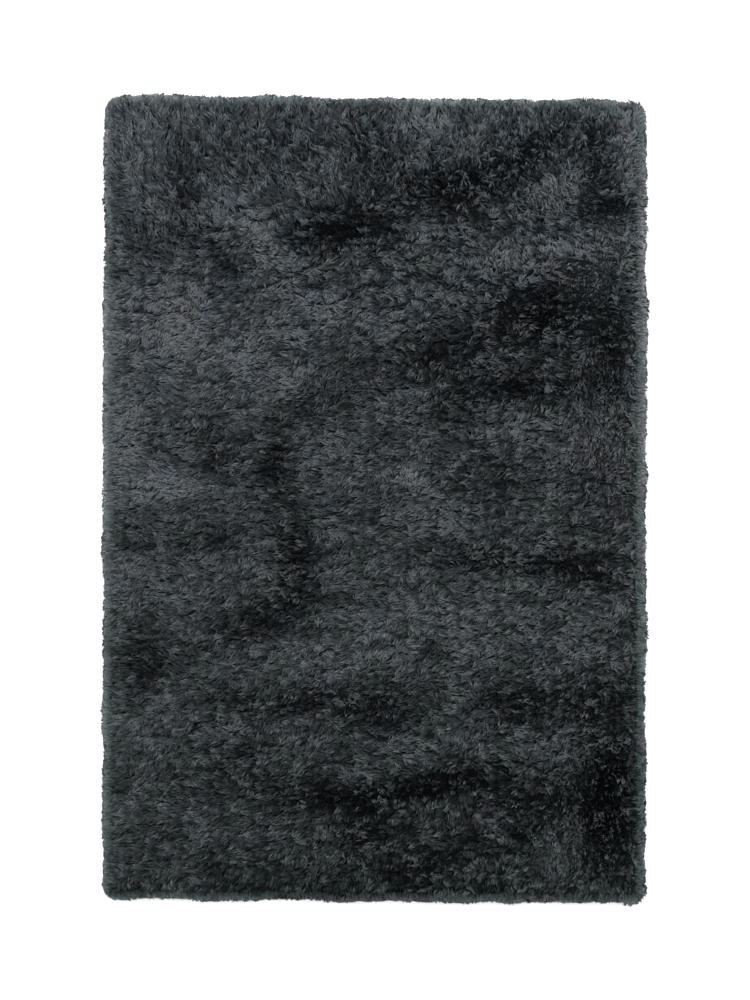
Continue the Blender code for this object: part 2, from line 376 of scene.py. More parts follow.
class YarnColours(PropertyGroup):
    """The colours that a user would change"""

    # The tip's colour is the yarn's own, a little lighter with a painted sheen
    tip: FloatVectorProperty(
        name="Tip",
        description="Colour of a lock's tip",
        subtype="COLOR",
        default=(0.0545, 0.0583, 0.0635),
    )
    blue: FloatVectorProperty(
        name="Blue cast",
        description="Colour of the tips in the bluish patches, most at the head end",
        subtype="COLOR",
        default=(0.0480, 0.0582, 0.0672),
    )
    green: FloatVectorProperty(
        name="Green cast",
        description="Colour of the tips in the greenish patches, most at the foot end",
        subtype="COLOR",
        default=(0.0482, 0.0588, 0.0610),
    )
    edge: FloatVectorProperty(
        name="Edge tint",
        description="What the yarn's colour is multiplied by at the rim, a little greener than the rest",
        subtype="COLOR",
        default=(0.940, 1.0, 0.975),
    )
    # The root's darker colour is painted shade, for the little light that reaches deep into the pile
    root: FloatVectorProperty(
        name="Root",
        description="Colour of the yarn near the backing",
        subtype="COLOR",
        default=(0.0155, 0.0190, 0.0208),
    )
    backing: FloatVectorProperty(
        name="Backing",
        description="Colour of the backing cloth",
        subtype="COLOR",
        default=(0.150, 0.145, 0.135),
    )
    floor: FloatVectorProperty(
        name="Floor",
        description="Colour of the studio floor",
        subtype="COLOR",
        default=(0.90, 0.90, 0.90),
    )


# ---- fields over the rug


def spot(across, down):
    """A place in the photograph as metres on the rug."""
    return (across - MIDDLE[0]) * PIXEL, (MIDDLE[1] - down) * PIXEL


def bell(x, y, across, down, half_length, half_width, turn):
    """exp(-(a^2 + b^2)), where a and b are the ways along and across a turned ellipse, in its half-axes."""
    centre_x, centre_y = spot(across, down)
    c, s = np.cos(np.radians(turn)), np.sin(np.radians(turn))
    a = ((x - centre_x) * c + (y - centre_y) * s) / (half_length * PIXEL)
    b = ((y - centre_y) * c - (x - centre_x) * s) / (half_width * PIXEL)
    return np.exp(-(a**2 + b**2))


def shade_at(x, y):
    """The sum of the SHADES' bells, each times its shade."""
    return sum(row[5] * bell(x, y, *row[:5]) for row in SHADES)


def cast_at(x, y):
    """The dye's cast, in proportion to Y: above 0, bluish, at the head end, and below 0, greenish, at the
    foot."""
    return HUE_DRIFT * (y - HUE_MIDDLE)


def random_waves(rng, count, lengths):
    """Wave numbers in X and Y and phases, of waves in all directions with lengths between the two."""
    heading = rng.uniform(0, np.pi, count)
    number = 2 * np.pi / rng.uniform(*lengths, count)
    return number * np.cos(heading), number * np.sin(heading), rng.uniform(0, 2 * np.pi, count)


def ripple(x, y, waves):
    """The waves' cosines added up, scaled to a spread of about 1."""
    kx, ky, phase = (np.asarray(w)[:, None] for w in waves)
    return np.cos(kx * x + ky * y + phase).sum(0) / np.sqrt(len(phase) / 2)


def crown_waves():
    """The part's own small waves, drawn as its source draws them."""
    rng = np.random.default_rng(LUMP_SEED)
    rows = []
    for _ in range(LUMP_WAVES):
        heading = rng.uniform(0, np.pi)
        number = 2 * np.pi / rng.uniform(*LUMP_LENGTHS)
        rows.append((number * np.cos(heading), number * np.sin(heading), rng.uniform(0, 2 * np.pi)))
    return np.array(rows).T


def pile_height(x, y):
    """The height of the pile's tips: the crown, its small waves, and a lift in proportion to the shade."""
    lumps = LUMP_HEIGHT * ripple(x, y, crown_waves()) * np.sqrt(LUMP_WAVES / 2)
    return CROWN_HEIGHT + lumps + SHADE_LIFT * np.clip(shade_at(x, y), SHADE_LOWEST, SHADE_HIGHEST)


def heading_at(x, y):
    """The lay as a vector: unit vectors of the rows of HEADINGS and the base one, averaged by weight."""
    head = ease((y - HEAD_FROM) / (HEAD_TO - HEAD_FROM))
    base = np.radians(BASE_HEADING + (HEAD_HEADING - BASE_HEADING) * head)
    total, lay_x, lay_y = 1.0, np.cos(base), np.sin(base)
    for *place, heading, weight in HEADINGS:
        share = weight * bell(x, y, *place)
        total = total + share
        lay_x = lay_x + share * np.cos(np.radians(heading))
        lay_y = lay_y + share * np.sin(np.radians(heading))
    return lay_x / total, lay_y / total


def pulled(x, y):
    """Adds the corners' pulls, each fading linearly to nothing at the other corners."""
    moved_x, moved_y = x, y
    for (side_x, side_y), (across, along) in CORNER_PULLS.items():
        share = (1 + side_x * x / (WIDTH / 2)) * (1 + side_y * y / (LENGTH / 2)) / 4
        moved_x = moved_x + share * across
        moved_y = moved_y + share * along
    return moved_x, moved_y


def ease(t):
    """0 up to 0, 3t^2 - 2t^3 between, 1 from 1 on."""
    t = np.clip(t, 0, 1)
    return t * t * (3 - 2 * t)


def cells(x, y, size, stretch, rng):
    """For each place: its cell's number, the way to the cell's centre, and how near its border it is, from
    0 to 1 at the border. Centres are a shaken lattice, and a place belongs to the nearest. X is squeezed by
    the stretch."""
    x = x / stretch
    across, along = (int(extent / size) for extent in LATTICE)
    shake = rng.uniform(*CELL_SHAKE, (2, across, along))
    i, j = (x / size + across / 2).astype(int), (y / size + along / 2).astype(int)
    best, second, number = np.full(len(x), np.inf), np.full(len(x), np.inf), np.zeros(len(x), int)
    way_x, way_y = np.zeros(len(x)), np.zeros(len(x))
    for di in (-1, 0, 1):
        for dj in (-1, 0, 1):
            a, b = i + di, j + dj
            to_x = (a + shake[0, a, b] - across / 2) * size - x
            to_y = (b + shake[1, a, b] - along / 2) * size - y
            distance = np.hypot(to_x, to_y)
            nearer = distance < best
            second = np.where(nearer, best, np.minimum(second, distance))
            best = np.where(nearer, distance, best)
            number = np.where(nearer, a * along + b, number)
            way_x, way_y = np.where(nearer, to_x, way_x), np.where(nearer, to_y, way_y)
    border = np.clip(1 - (second - best) / (BORDER_WIDTH * size), 0, 1)
    return number, way_x * stretch, way_y, border


def bunched(x, y, lay_x, lay_y, shade, rng):
    """The pull on each lock's tip in X and Y, its turn, tone and lift, and the tilt in X and Y of the
    bunch's rounded top there, summed over the BUNCHES."""
    sums = np.zeros((7, len(x)))
    way_x, way_y = cells(x, y, STRETCH_CELL, 1.0, rng)[1:3]
    broad_x, broad_y = heading_at(x + way_x, y + way_y)
    stretch = np.where(np.abs(broad_y) > np.abs(broad_x), STRETCH_ALONG, STRETCH_ACROSS)
    dark = np.clip(-shade, 0, 1)
    full = ease((y - HEAD_END_FROM) / (HEAD_END_TO - HEAD_END_FROM))
    for size, sleek, pull, turn, tone, dark_tone, lift, rise, dip in BUNCHES:
        number, way_x, way_y, border = cells(x, y, size, stretch, rng)
        most = number.max() + 1
        rough = sleek + (1 - sleek) * full
        sums[0] += rough * pull * way_x
        sums[1] += rough * pull * way_y
        for row, spread in zip((2, 3, 4), (turn, tone + dark_tone * dark, lift)):
            sums[row] += rough * spread * rng.normal(0, 1, most)[number]
        # The front's rise and the border's dip also paint light on the front and shade in the crease, by the
        # lift's tone
        front = np.clip((way_x * lay_x + way_y * lay_y) / size, -FRONT_MOST, FRONT_MOST)
        sums[4] -= rough * (rise * front + dip * border)
        sums[5] -= rough * BUNCH_TILT * pull * way_x / size / stretch
        sums[6] -= rough * BUNCH_TILT * pull * way_y / size
    return sums * (1 + ROUGH_RIGHT * 2 * x / WIDTH) * (1 + ROUGH_DARK * dark)


# ---- meshes


def piece(name, points, faces, material):
    """A mesh object of these points and triangles or quads, riding on the rug's body."""
    mesh = bpy.data.meshes.new(name)
    corners = faces.shape[1]
    mesh.vertices.add(len(points))
    mesh.vertices.foreach_set("co", np.ascontiguousarray(points, np.float32).ravel())
    mesh.loops.add(faces.size)
    mesh.loops.foreach_set("vertex_index", faces.ravel().astype(np.int32))
    mesh.polygons.add(len(faces))
    mesh.polygons.foreach_set("loop_start", np.arange(0, faces.size, corners, dtype=np.int32))
    mesh.update(calc_edges=True)
    mesh.shade_smooth()
    mesh.materials.append(material)
    thing = bpy.data.objects.new(name, mesh)
    bpy.context.scene.collection.objects.link(thing)
    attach(thing, "root")
    return thing


def point_values(thing, name, values):
    """Stores one number for each vertex as an attribute."""
    layer = thing.data.attributes.new(name, "FLOAT", "POINT")
    layer.data.foreach_set("value", np.ascontiguousarray(values, np.float32).ravel())


def lock_faces(pairs):
    """The triangles of a lock, as corner numbers: 0 is its root, then come its pairs' corners, then its
    tip. Also how far round it each triangle's corners lie, in turns: left 0 or 1, the top's middle 1/4,
    right 1/2, keel 3/4."""
    tip = 2 * pairs + 1
    faces, around = [(0, 1, 2), (tip - 2, tip, tip - 1)], [(0.25, 0.0, 0.5), (0.0, 0.25, 0.5)]
    for left in range(1, tip - 2, 2):
        faces += [(left, left + 2, left + 3), (left, left + 3, left + 1)]
        around += [(0.0, 0.0, 0.5), (0.0, 0.5, 0.5)]
    chain = [0, *range(1, tip, 2), tip]
    for here, there in zip(chain[1:], chain[2:]):
        right = there if there == tip else there + 1
        faces += [(0, there, here), (0, here + 1, right)]
        around += [(0.75, 0.75 if there == tip else 1.0, 1.0), (0.75, 0.5, 0.75 if there == tip else 0.5)]
    return np.array(faces), np.array(around)


def lock_points(locks, shape):
    """The points of each lock. Its centre line is (1-t)^2 root + 2t(1-t) bend + t^2 tip, and its pairs lie
    square to that line, rolled from the level by its roll."""
    root, bend, tip = (locks[name][:, None] for name in ("root", "bend", "tip"))
    t = np.array([0.0] + [place for place, _ in shape] + [1.0])[None, :, None]
    line = (1 - t) ** 2 * root + 2 * t * (1 - t) * bend + t * t * tip
    slope = (1 - t) * (bend - root) + t * (tip - bend)
    slope /= np.linalg.norm(slope, axis=2, keepdims=True) + TINY
    level = tip - root
    level = np.stack((-level[..., 1], level[..., 0], np.zeros(level.shape[:2])), 2)
    level /= np.linalg.norm(level, axis=2, keepdims=True) + TINY
    up = np.cross(slope, level)
    roll = locks["roll"][:, None, None]
    left = (np.cos(roll) * level + np.sin(roll) * up) * locks["radius"][:, None, None]
    points = [line[:, 0]]
    for pair, (_, width) in enumerate(shape, 1):
        points += [line[:, pair] + width * left[:, pair], line[:, pair] - width * left[:, pair]]
    points = np.stack(points + [line[:, -1]], 1)
    points[..., 2] = np.maximum(points[..., 2], FLOOR_GAP)
    along = np.concatenate(([0.0], np.repeat([place for place, _ in shape], 2), [1.0]))
    return points, along


def lock_piece(name, locks, shape, material, rng):
    """One piece of many locks, with a map on which each lock has a cell of its own, and their tones."""
    count = len(locks["root"])
    points, along = lock_points(locks, shape)
    corners, around = lock_faces(len(shape))
    faces = (np.arange(count)[:, None, None] * len(along) + corners[None]).reshape(-1, 3)
    thing = piece(name, points.reshape(-1, 3), faces, material)
    point_values(thing, "along", np.tile(along, count))
    point_values(thing, "tone", np.repeat(locks["tone"], len(along)))
    point_values(thing, "cast", np.repeat(locks["cast"], len(along)))
    point_values(thing, "edge", np.repeat(locks["edge"], len(along)))
    layer = thing.data.attributes.new("face", "FLOAT_VECTOR", "POINT")
    face = np.repeat(locks["face"], len(along), axis=0)
    layer.data.foreach_set("vector", face.astype(np.float32).ravel())
    around, up_lock = around.ravel(), along[corners].ravel()
    # The bake's map: a lattice of cells
    columns = int(np.ceil(np.sqrt(count * CELL_TALL)))
    rows = int(np.ceil(count / columns))
    cell = np.arange(count)
    u = (cell % columns)[:, None] + MARGIN_ROUND + (1 - 2 * MARGIN_ROUND) * around[None]
    v = (cell // columns)[:, None] + MARGIN_ALONG + (1 - 2 * MARGIN_ALONG) * up_lock[None]
    own = thing.data.uv_layers.new(name="OFBake")
    own.uv.foreach_set("vector", np.stack((u / columns, v / rows), 2).astype(np.float32).ravel())
    # The yarn's map, in metres round and along a lock, starting anywhere
    start = rng.uniform(0, YARN_MAP, (count, 2))
    u = start[:, :1] + around[None] * YARN_ROUND * locks["radius"][:, None]
    v = start[:, 1:] + up_lock[None] * YARN_LENGTH
    yarn = thing.data.uv_layers.new(name="yarn")
    yarn.uv.foreach_set("vector", np.stack((u, v), 2).astype(np.float32).ravel())
    return thing


def slab(name, x, y, low, high, material):
    """A closed slab over a lattice: x, y, low and high are arrays of one shape, and its rims are joined."""
    rows, columns = x.shape
    points = np.concatenate(
        (
            np.stack((x, y, high), 2).reshape(-1, 3),
            np.stack((x, y, low), 2).reshape(-1, 3),
        )
    )
    number = np.arange(rows * columns).reshape(rows, columns)
    quads = np.stack((number[:-1, :-1], number[1:, :-1], number[1:, 1:], number[:-1, 1:]), 2).reshape(-1, 4)
    under = quads[:, ::-1] + rows * columns
    rim = np.concatenate((number[:, 0], number[-1, 1:], number[-2::-1, -1], number[0, -2:0:-1]))
    after = np.roll(rim, -1)
    below = rows * columns
    wall = np.stack((rim + below, after + below, after, rim), 1)
    return piece(name, points, np.concatenate((quads, under, wall)), material)


# ---- the pile


def bulge(angle, reach, drop):
    """The rim's side view: beyond the backing's edge and up, reach sin(angle) and low + (high - low)
    cos(angle), where high is the crown's height less the drop. The angle goes from 0 at the crown to past a
    quarter turn."""
    high = CROWN_HEIGHT - drop
    return reach * np.sin(angle), BULGE_MIDDLE + (high - BULGE_MIDDLE) * np.cos(angle)


def edge_shares(x, y, rng):
    """How far the pile is parted along the sides in X and in Y: from 0 to 1 over the parting's fade."""
    parting = PARTING + PARTING_WANDER * ripple(x, y, random_waves(rng, *PARTING_WAVES))
    in_x, in_y = WIDTH / 2 - np.abs(x), LENGTH / 2 - np.abs(y)
    return ease((parting - in_x) / PARTING_FADE), ease((parting - in_y) / PARTING_FADE)


def past_backing(x, y):
    """The distance of these places from the backing, 0 on it."""
    return np.hypot(np.maximum(np.abs(x) - WIDTH / 2, 0), np.maximum(np.abs(y) - LENGTH / 2, 0))


def grow_field(x, y, rng):
    """Locks whose tips come to these places of the uncut rug. A lock rises from its root and lies over
    along the lay, less where the shade is dark, and outwards near the edge."""
    sizes = bpy.context.scene.rug_sizes
    count = len(x)
    edge_x, edge_y = edge_shares(x, y, rng)
    edge = np.maximum(edge_x, edge_y)
    over = past_backing(x, y)
    tip_x, tip_y = pulled(x, y)
    shade = shade_at(tip_x, tip_y)
    lay_x, lay_y = heading_at(tip_x, tip_y)
    pull_x, pull_y, turn, tone, lift, tilt_x, tilt_y = bunched(tip_x, tip_y, lay_x, lay_y, shade, rng)
    swirl = SWIRL * ripple(tip_x, tip_y, random_waves(rng, *SWIRL_WAVES))
    angle = np.arctan2(lay_y, lay_x) + swirl + turn + rng.normal(0, ANGLE_SPREAD, count)
    lean = np.hypot(lay_x, lay_y) * (LEAN + LEAN_SHADE * np.clip(shade, -1, LEAN_SHADE_MOST))
    lean = np.clip(lean + rng.normal(0, LEAN_SPREAD, count), LEAN_LEAST, 1.0) * (1 - LESS_LAY * edge)
    out = np.arctan2(np.sign(y) * edge_y, np.sign(x) * edge_x)
    out = out + OUT_TURN * turn + rng.normal(0, OUT_SPREAD, count)
    way_x = lean * np.cos(angle) + OUTWARDS * edge * np.cos(out)
    way_y = lean * np.sin(angle) + OUTWARDS * edge * np.sin(out)
    sweep = PARTING_SWEEP * edge_x * (1 - edge_x) * (x > 0)
    way_y = way_y + sweep * np.tanh((y - SWEEP_TURNS) / SWEEP_FADE)
    free = sizes.lock_length * rng.uniform(*LENGTHS, count)
    root_x = np.clip(x - way_x * free, -WIDTH / 2, WIDTH / 2)
    root_y = np.clip(y - way_y * free, -LENGTH / 2, LENGTH / 2)
    root_x, root_y = pulled(root_x, root_y)
    tip_x, tip_y = tip_x + pull_x * (1 - LESS_PULL * edge), tip_y + pull_y * (1 - LESS_PULL * edge)
    top = pile_height(tip_x, tip_y) + lift - TIP_DEPTH * rng.random(count)
    fall = np.sqrt(np.clip(1 - (over / sizes.overhang) ** 2, 0, 1))
    tip_z = BULGE_MIDDLE + (top - BULGE_MIDDLE) * fall
    root_z = pile_height(root_x, root_y) - sizes.bed_depth - ROOT_DEPTH
    rise = BEND_RISE * sizes.lock_length * np.hypot(way_x, way_y)
    bend_z = np.maximum(tip_z + BEND_OVER_TIP, root_z + rise)
    hues = random_waves(rng, *HUE_WAVES)
    slow = SLOW_TONE * ripple(tip_x, tip_y, random_waves(rng, *TONE_WAVES))
    uneven_and_lift_light = slow + tone + rng.normal(0, TONE_SPREAD, count) + LIFT_PAINTED_LIGHT * lift
    lightest = LIGHTEST + LIGHTEST_SHADE * np.clip(shade, LIGHTEST_FROM, LIGHTEST_TO)
    curl = CURL * turn + rng.normal(0, CURL_SPREAD, count)
    start_x = START * ((tip_x - root_x) * np.cos(curl) - (tip_y - root_y) * np.sin(curl))
    start_y = START * ((tip_x - root_x) * np.sin(curl) + (tip_y - root_y) * np.cos(curl))
    cast = cast_at(tip_x, tip_y) + SLOW_CAST * ripple(tip_x, tip_y, hues)
    return {
        "root": np.stack((root_x, root_y, root_z), 1),
        "bend": np.stack((root_x + start_x, root_y + start_y, bend_z), 1),
        "tip": np.stack((tip_x, tip_y, tip_z), 1),
        "radius": sizes.lock_radius * rng.uniform(*RADII, count),
        "roll": rng.normal(0, ROLL_SPREAD, count),
        "face": facing(out, np.minimum(over / sizes.overhang, STEEPEST), tilt_x, tilt_y),
        # The tone: painted shade and light by the shade and the lift, painted light past the backing, and
        # random changes
        "tone": np.exp(np.minimum(PAINTED_SHADE_STRENGTH * shade + uneven_and_lift_light + OUT_LIGHT * over, lightest)),
        "edge": edge,
        "cast": cast + rng.normal(0, CAST_SPREAD, count) + PARTING_CAST * edge,
    }


def facing(out, slope, tilt_x, tilt_y):
    """The way that the pile's surface faces: slope times the way out, and up, plus the bunches' tilts."""
    up = np.sqrt(1 - slope**2)
    way = np.stack((slope * np.cos(out) + tilt_x, slope * np.sin(out) + tilt_y, up), 1)
    return way / np.linalg.norm(way, axis=1, keepdims=True)


def rim_line(share):
    """Places round the backing, a rectangle with rounded corners, and the way out from each. The share goes
    once round, counterclockwise from the middle of the +X side, by the length of the tips' outline."""
    sizes = bpy.context.scene.rug_sizes
    half_x, half_y = WIDTH / 2 - CORNER_RADIUS, LENGTH / 2 - CORNER_RADIUS
    arc = (CORNER_RADIUS + sizes.overhang) * np.pi / 2
    lengths = np.array([half_y, arc, 2 * half_x, arc, 2 * half_y, arc, 2 * half_x, arc, half_y])
    ends = np.concatenate(([0], np.cumsum(lengths)))
    s = share * ends[-1]
    # Along a side the corner's centre runs and the way out is fixed, and round a corner it is the reverse
    turn = np.interp(s, ends, np.radians([0, 0, 90, 90, 180, 180, 270, 270, 360, 360]))
    centre_x = np.interp(s, ends, half_x * np.array([1, 1, 1, -1, -1, -1, -1, 1, 1, 1]))
    centre_y = np.interp(s, ends, half_y * np.array([0, 1, 1, 1, 1, -1, -1, -1, -1, 0]))
    return centre_x + CORNER_RADIUS * np.cos(turn), centre_y + CORNER_RADIUS * np.sin(turn), turn


def grow_rim(rng):
    """The rim's locks lie on its bulge like thatch. Each follows the bulge down and outwards to its tip."""
    sizes = bpy.context.scene.rug_sizes
    around = 2 * (WIDTH + LENGTH + 4 * sizes.overhang)
    count = int(around * RIM_ARC / sizes.lock_spacing**2)
    base_x, base_y, out = rim_line(rng.random(count))
    base_x, base_y = pulled(base_x, base_y)
    out_x, out_y = np.cos(out), np.sin(out)
    end = np.radians(RIM_FIRST + RIM_SPAN * rng.random(count) ** RIM_CROWDING)
    # The bunches are looked up as if the bulge were spread out flat
    spread_x, spread_y = base_x + sizes.overhang * end * out_x, base_y + sizes.overhang * end * out_y
    bunches = bunched(spread_x, spread_y, out_x, out_y, 0 * end, rng)
    pull_x, pull_y, turn, tone, lift, tilt_x, tilt_y = bunches
    side_pull = RIM_PULL * (-pull_x * out_y + pull_y * out_x)
    turn = RIM_TURN * turn + rng.normal(0, OUT_SPREAD, count)
    # Each broad bunch's front is rounded, and the rim wanders
    size = BUNCHES[-1][0]
    way_x, way_y = cells(base_x, base_y, size, 1.0, np.random.default_rng(sizes.seed))[1:3]
    off = (-way_x * out_y + way_y * out_x) / (size / 2)
    wander = RIM_WANDER * ripple(base_x, base_y, random_waves(rng, *RIM_WAVES))
    reach = sizes.overhang + wander - RIM_ROUNDING * np.minimum(off**2, 1)
    short = rng.random(count)
    reach = reach + RIM_LIFT * lift - RIM_SHORT * short**1.5 + RIM_LONG * (1 - short) ** 4
    reach = reach - RIM_ENDS * out_y**2
    arc = sizes.rim_length * rng.uniform(*RIM_LENGTHS, count) / sizes.overhang
    locks = {}
    for name, back, out_share, drop, aside in RIM_CURVE:
        beyond, up = bulge(np.maximum(end - back * arc, FURTHEST_BACK), reach * out_share, drop)
        shift = aside * (turn * sizes.rim_length + side_pull)
        place_x, place_y = base_x + beyond * out_x - shift * out_y, base_y + beyond * out_y + shift * out_x
        locks[name] = np.stack((place_x, place_y, np.maximum(up + aside * lift, RIM_GAP)), 1)
    hues = random_waves(rng, *HUE_WAVES)
    locks["radius"] = RIM_THICKNESS * sizes.lock_radius * rng.uniform(*RADII, count)
    locks["roll"] = rng.normal(0, ROLL_SPREAD, count)
    # Painted light on the rim where the bulge faces out and all round, and a painted shadow under it towards
    # the floor
    rim_painted_light = GLOW * np.exp(-(((end - GLOW_ANGLE) / GLOW_WIDTH) ** 2))
    rim_painted_light = rim_painted_light - UNDER_PAINTED_SHADE * np.maximum(end - np.pi / 2, 0)
    rim_painted_light = rim_painted_light + GLOW_ALL + GLOW_FOOT * np.maximum(-out_y, 0)
    uneven_and_lift_light = RIM_BUNCH_TONE * (tone + LIFT_PAINTED_LIGHT * lift) + rng.normal(0, RIM_TONE_SPREAD, count)
    uneven_and_lift_light = np.clip(uneven_and_lift_light, RIM_DARKEST, RIM_LIGHTEST)
    locks["tone"] = np.exp(RIM_SHADE * PAINTED_SHADE_STRENGTH * shade_at(base_x, base_y) + uneven_and_lift_light + rim_painted_light)
    cast = cast_at(base_x, base_y) + RIM_SLOW_CAST * ripple(base_x, base_y, hues)
    locks["cast"] = cast + rng.normal(0, CAST_SPREAD, count) + RIM_CAST
    locks["edge"] = np.ones(count)
    locks["face"] = facing(out, np.sin(np.minimum(end, np.pi / 2)), tilt_x, tilt_y)
    locks["side"] = (np.degrees(out) + 45) % 360 // 90
    return locks


def shaken_lattice(half_x, half_y, spacing, rng):
    """Places on a lattice, each moved by up to LATTICE_SHAKE spacings. Every other row is half a step on."""
    across, along = int(2 * half_x / spacing), int(2 * half_y / spacing)
    x, y = np.meshgrid(np.arange(across) + 0.5, np.arange(along) + 0.5, indexing="ij")
    x = (x + 0.5 * (np.arange(along) % 2) - 0.25).ravel() / across * 2 * half_x - half_x
    y = y.ravel() / along * 2 * half_y - half_y
    x += rng.uniform(-LATTICE_SHAKE, LATTICE_SHAKE, len(x)) * spacing
    y += rng.uniform(-LATTICE_SHAKE, LATTICE_SHAKE, len(y)) * spacing
    return np.clip(x, -half_x, half_x), np.clip(y, -half_y, half_y)


def chosen(locks, mask):
    """The locks where the mask is true."""
    return {name: values[mask] for name, values in locks.items()}


# ---- materials


def new_material(name, roughness):
    """A material with its node tree and its shader."""
    material = bpy.data.materials.new(name)
    material.use_nodes = True
    shader = material.node_tree.nodes["Principled BSDF"]
    shader.inputs["Roughness"].default_value = roughness
    return material, material.node_tree, shader


def math_node(tree, operation, *values, clamp=False):
    """A Math node's output. Its values are numbers or sockets."""
    node = tree.nodes.new("ShaderNodeMath")
    node.operation, node.use_clamp = operation, clamp
    for socket, value in zip(node.inputs, values):
        if hasattr(value, "links"):
            tree.links.new(value, socket)
        else:
            socket.default_value = value
    return node.outputs[0]


def mix_colours(tree, share, first, second, blend="MIX"):
    """A colour Mix node's output. The colours are tuples or sockets."""
    node = tree.nodes.new("ShaderNodeMix")
    node.data_type, node.blend_type = "RGBA", blend
    for name, value in (("Factor", share), ("A", first), ("B", second)):
        socket = next(s for s in node.inputs if s.name == name and s.enabled)
        if hasattr(value, "links"):
            tree.links.new(value, socket)
        elif name == "Factor":
            socket.default_value = value
        else:
            socket.default_value = (*value, 1.0)
    return next(s for s in node.outputs if s.enabled)


def yarn_group(colours):
    """Dyed yarn with painted light and shade: the colour goes from the root's to the tip's, which leans
    to blue or green by the cast, and the whole is scaled by the tone, streaked by the fibres and tinted at
    the edge. The darker root is painted shade in the pile's depth, the lighter tip partly a painted sheen,
    and the tone holds painted light and shade besides its random changes. Red is scaled a little more
    steeply than green, and blue a little less, so that bright yarn is greyer than dark yarn."""
    tree = bpy.data.node_groups.new("yarn_dye_and_shade", "ShaderNodeTree")
    for name, kind, default in (
        ("Along", "NodeSocketFloat", 1.0),
        ("Tone", "NodeSocketFloat", 1.0),
        ("Cast", "NodeSocketFloat", 0.0),
        ("Fibre", "NodeSocketFloat", 0.5),
        ("Edge", "NodeSocketFloat", 0.0),
    ):
        socket = tree.interface.new_socket(name, in_out="INPUT", socket_type=kind)
        socket.default_value = default
    tree.interface.new_socket("Color", in_out="OUTPUT", socket_type="NodeSocketColor")
    start, end = tree.nodes.new("NodeGroupInput"), tree.nodes.new("NodeGroupOutput")
    to_blue = math_node(tree, "MULTIPLY", start.outputs["Cast"], CAST_STRENGTH, clamp=True)
    to_green = math_node(tree, "MULTIPLY", start.outputs["Cast"], -CAST_STRENGTH, clamp=True)
    tip = mix_colours(tree, to_blue, tuple(colours.tip), tuple(colours.blue))
    tip = mix_colours(tree, to_green, tip, tuple(colours.green))
    rise = math_node(tree, "POWER", start.outputs["Along"], ROOT_POWER)
    colour = mix_colours(tree, rise, tuple(colours.root), tip)
    streak = math_node(tree, "MULTIPLY_ADD", start.outputs["Fibre"], STREAK, STREAK_BASE)
    scale = math_node(tree, "MULTIPLY", streak, start.outputs["Tone"])
    by_channel = tree.nodes.new("ShaderNodeCombineXYZ")
    for socket, power in zip(by_channel.inputs, CHANNEL_POWERS):
        tree.links.new(math_node(tree, "POWER", scale, power), socket)
    scaled = tree.nodes.new("ShaderNodeVectorMath")
    scaled.operation = "MULTIPLY"
    tree.links.new(colour, scaled.inputs[0])
    tree.links.new(by_channel.outputs[0], scaled.inputs[1])
    tint = mix_colours(tree, start.outputs["Edge"], (1.0, 1.0, 1.0), tuple(colours.edge))
    tree.links.new(mix_colours(tree, 1.0, scaled.outputs[0], tint, "MULTIPLY"), end.inputs["Color"])
    return tree


def attribute(tree, name):
    """The output of the node that reads a number attribute."""
    node = tree.nodes.new("ShaderNodeAttribute")
    node.attribute_name = name
    return node.outputs["Fac"]


def yarn_material(group):
    """Matt synthetic yarn. Its fibres run along each lock, as fine streaks of colour and height."""
    material, tree, shader = new_material("charcoal_yarn", 0.62)
    shader.inputs["Specular IOR Level"].default_value = 0.03
    place = tree.nodes.new("ShaderNodeUVMap")
    place.uv_map = "yarn"
    scale = tree.nodes.new("ShaderNodeMapping")
    scale.inputs["Scale"].default_value = (330.0, 165.0, 1.0)
    fibres = tree.nodes.new("ShaderNodeTexNoise")
    fibres.inputs["Scale"].default_value = 1.0
    fibres.inputs["Detail"].default_value = 2.0
    tree.links.new(place.outputs[0], scale.inputs[0])
    tree.links.new(scale.outputs[0], fibres.inputs["Vector"])
    dye_and_shade = tree.nodes.new("ShaderNodeGroup")
    dye_and_shade.node_tree = group
    for name in ("Along", "Tone", "Cast", "Edge"):
        tree.links.new(attribute(tree, name.lower()), dye_and_shade.inputs[name])
    tree.links.new(fibres.outputs["Fac"], dye_and_shade.inputs["Fibre"])
    tree.links.new(dye_and_shade.outputs["Color"], shader.inputs["Base Color"])
    bump = tree.nodes.new("ShaderNodeBump")
    bump.inputs["Strength"].default_value = 0.5
    bump.inputs["Distance"].default_value = 0.0006
    tree.links.new(fibres.outputs["Fac"], bump.inputs["Height"])
    # Yarn lets light through to its neighbours, so a lock is shaded mostly as the bunch's surface faces
    face = tree.nodes.new("ShaderNodeAttribute")
    face.attribute_name = "face"
    turned = tree.nodes.new("ShaderNodeVectorTransform")
    turned.vector_type = "NORMAL"
    turned.convert_from, turned.convert_to = "OBJECT", "WORLD"
    tree.links.new(face.outputs["Vector"], turned.inputs[0])
    own = tree.nodes.new("ShaderNodeNewGeometry")
    blend = tree.nodes.new("ShaderNodeMix")
    blend.data_type = "VECTOR"
    blend.inputs["Factor"].default_value = BUNCH_SHADING
    tree.links.new(own.outputs["Normal"], next(s for s in blend.inputs if s.name == "A" and s.enabled))
    tree.links.new(turned.outputs[0], next(s for s in blend.inputs if s.name == "B" and s.enabled))
    even = tree.nodes.new("ShaderNodeVectorMath")
    even.operation = "NORMALIZE"
    tree.links.new(next(s for s in blend.outputs if s.enabled), even.inputs[0])
    tree.links.new(even.outputs[0], bump.inputs["Normal"])
    tree.links.new(bump.outputs[0], shader.inputs["Normal"])
    return material


